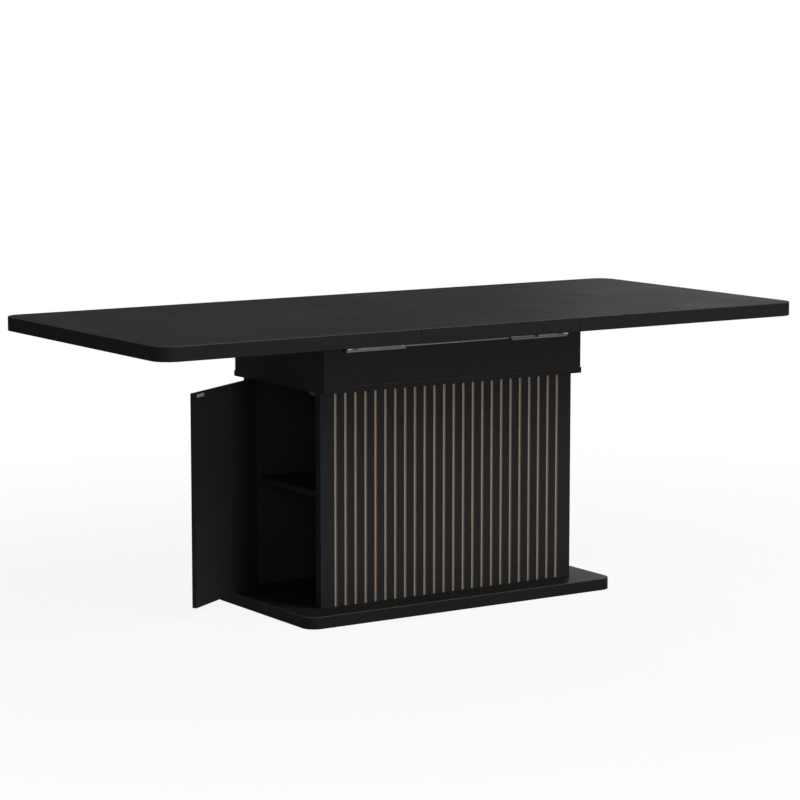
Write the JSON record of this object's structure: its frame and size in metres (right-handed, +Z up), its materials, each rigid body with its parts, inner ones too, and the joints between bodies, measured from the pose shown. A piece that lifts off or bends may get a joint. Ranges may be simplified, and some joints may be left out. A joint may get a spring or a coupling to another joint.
{
  "type": "extending dining table",
  "caption": "Extending dining table on a grooved pedestal cabinet with end doors, shelves and a plinth, with its centre leaf in place and telescopic slides under the top.",
  "frame": {"origin": "on the floor, below the middle of the extended tabletop", "axes": "+X along the table, +Y to the rear, away from the viewed long side, +Z up"},
  "size_m": [2, 0.88, 0.78],
  "materials": {
    "top_laminate": "matt black laminate on chipboard",
    "carcass_laminate": "matt black laminate on chipboard",
    "grooved_panel": "matt black laminate, milled through to the wood-brown core in the grooves",
    "batten_wood": "planed softwood",
    "slide_steel": "dark zinc plated",
    "liner_plastic": "black polymer",
    "pin_steel": "zinc plated",
    "striker_plate": "satin nickel plated",
    "catch_plastic": "matt",
    "felt": "pressed felt"
  },
  "bodies": {
    "base": {"apron_board": "carcass_laminate", "apron_front": "carcass_laminate", "apron_left": "carcass_laminate", "apron_rear": "carcass_laminate", "apron_right": "carcass_laminate", "catch_left": "catch_plastic", "catch_right": "catch_plastic", "divider": "carcass_laminate", "felt_front": "felt", "felt_rear": "felt", "panel_front": "grooved_panel", "panel_rear": "grooved_panel", "plinth_left": "carcass_laminate", "plinth_right": "carcass_laminate", "rail_front": "slide_steel", "rail_rear": "slide_steel", "shelf_left": "carcass_laminate", "shelf_pin_front_left_inner": "pin_steel", "shelf_pin_front_left_outer": "pin_steel", "shelf_pin_front_right_inner": "pin_steel", "shelf_pin_front_right_outer": "pin_steel", "shelf_pin_rear_left_inner": "pin_steel", "shelf_pin_rear_left_outer": "pin_steel", "shelf_pin_rear_right_inner": "pin_steel", "shelf_pin_rear_right_outer": "pin_steel", "shelf_right": "carcass_laminate"},
    "top_left": {"top_left": "top_laminate", "runner_front_left": "slide_steel", "runner_rear_left": "slide_steel"},
    "carriage_front_left": {"carriage_front_left": "slide_steel", "liner_inner_front_left": "liner_plastic", "liner_outer_front_left": "liner_plastic"},
    "carriage_rear_left": {"carriage_rear_left": "slide_steel", "liner_inner_rear_left": "liner_plastic", "liner_outer_rear_left": "liner_plastic"},
    "door_left": {"door_left": "carcass_laminate", "pivot_lower_left": "pin_steel", "pivot_upper_left": "pin_steel", "striker_left": "striker_plate"},
    "top_right": {"top_right": "top_laminate", "runner_front_right": "slide_steel", "runner_rear_right": "slide_steel"},
    "carriage_front_right": {"carriage_front_right": "slide_steel", "liner_inner_front_right": "liner_plastic", "liner_outer_front_right": "liner_plastic"},
    "carriage_rear_right": {"carriage_rear_right": "slide_steel", "liner_inner_rear_right": "liner_plastic", "liner_outer_rear_right": "liner_plastic"},
    "door_right": {"door_right": "carcass_laminate", "pivot_lower_right": "pin_steel", "pivot_upper_right": "pin_steel", "striker_right": "striker_plate"},
    "leaf": {"leaf": "top_laminate", "leaf_batten_left": "batten_wood", "leaf_batten_right": "batten_wood"}
  },
  "joints": [
    {"name": "left_door_hinge", "type": "hinge", "parent": "base", "child": "door_left", "pos_m": [-0.397, 0.161, 0.316], "axis": [0, 0, -1], "range_deg": [-58, 52]},
    {"name": "right_door_hinge", "type": "hinge", "parent": "base", "child": "door_right", "pos_m": [0.397, 0.161, 0.316], "axis": [0, 0, 1], "range_deg": [0, 110]},
    {"name": "top_left_slide", "type": "slide", "parent": "base", "child": "top_left", "axis": [-1, 0, 0], "range_m": [0, 0.04]},
    {"name": "carriage_front_left_slide", "type": "slide", "parent": "base", "child": "carriage_front_left", "axis": [-1, 0, 0], "range_m": [0, 0.02]},
    {"name": "carriage_rear_left_slide", "type": "slide", "parent": "base", "child": "carriage_rear_left", "axis": [-1, 0, 0], "range_m": [0, 0.02]},
    {"name": "top_right_slide", "type": "slide", "parent": "base", "child": "top_right", "axis": [1, 0, 0], "range_m": [0, 0.04]},
    {"name": "carriage_front_right_slide", "type": "slide", "parent": "base", "child": "carriage_front_right", "axis": [1, 0, 0], "range_m": [0, 0.02]},
    {"name": "carriage_rear_right_slide", "type": "slide", "parent": "base", "child": "carriage_rear_right", "axis": [1, 0, 0], "range_m": [0, 0.02]},
    {"name": "leaf_lift", "type": "slide", "parent": "base", "child": "leaf", "axis": [0, 0, 1], "range_m": [0, 0.3]}
  ],
  "couplings": [
    {"joint": "carriage_front_left_slide", "follows": "top_left_slide", "ratio": 0.5},
    {"joint": "carriage_rear_left_slide", "follows": "top_left_slide", "ratio": 0.5},
    {"joint": "carriage_front_right_slide", "follows": "top_right_slide", "ratio": 0.5},
    {"joint": "carriage_rear_right_slide", "follows": "top_right_slide", "ratio": 0.5}
  ]
}
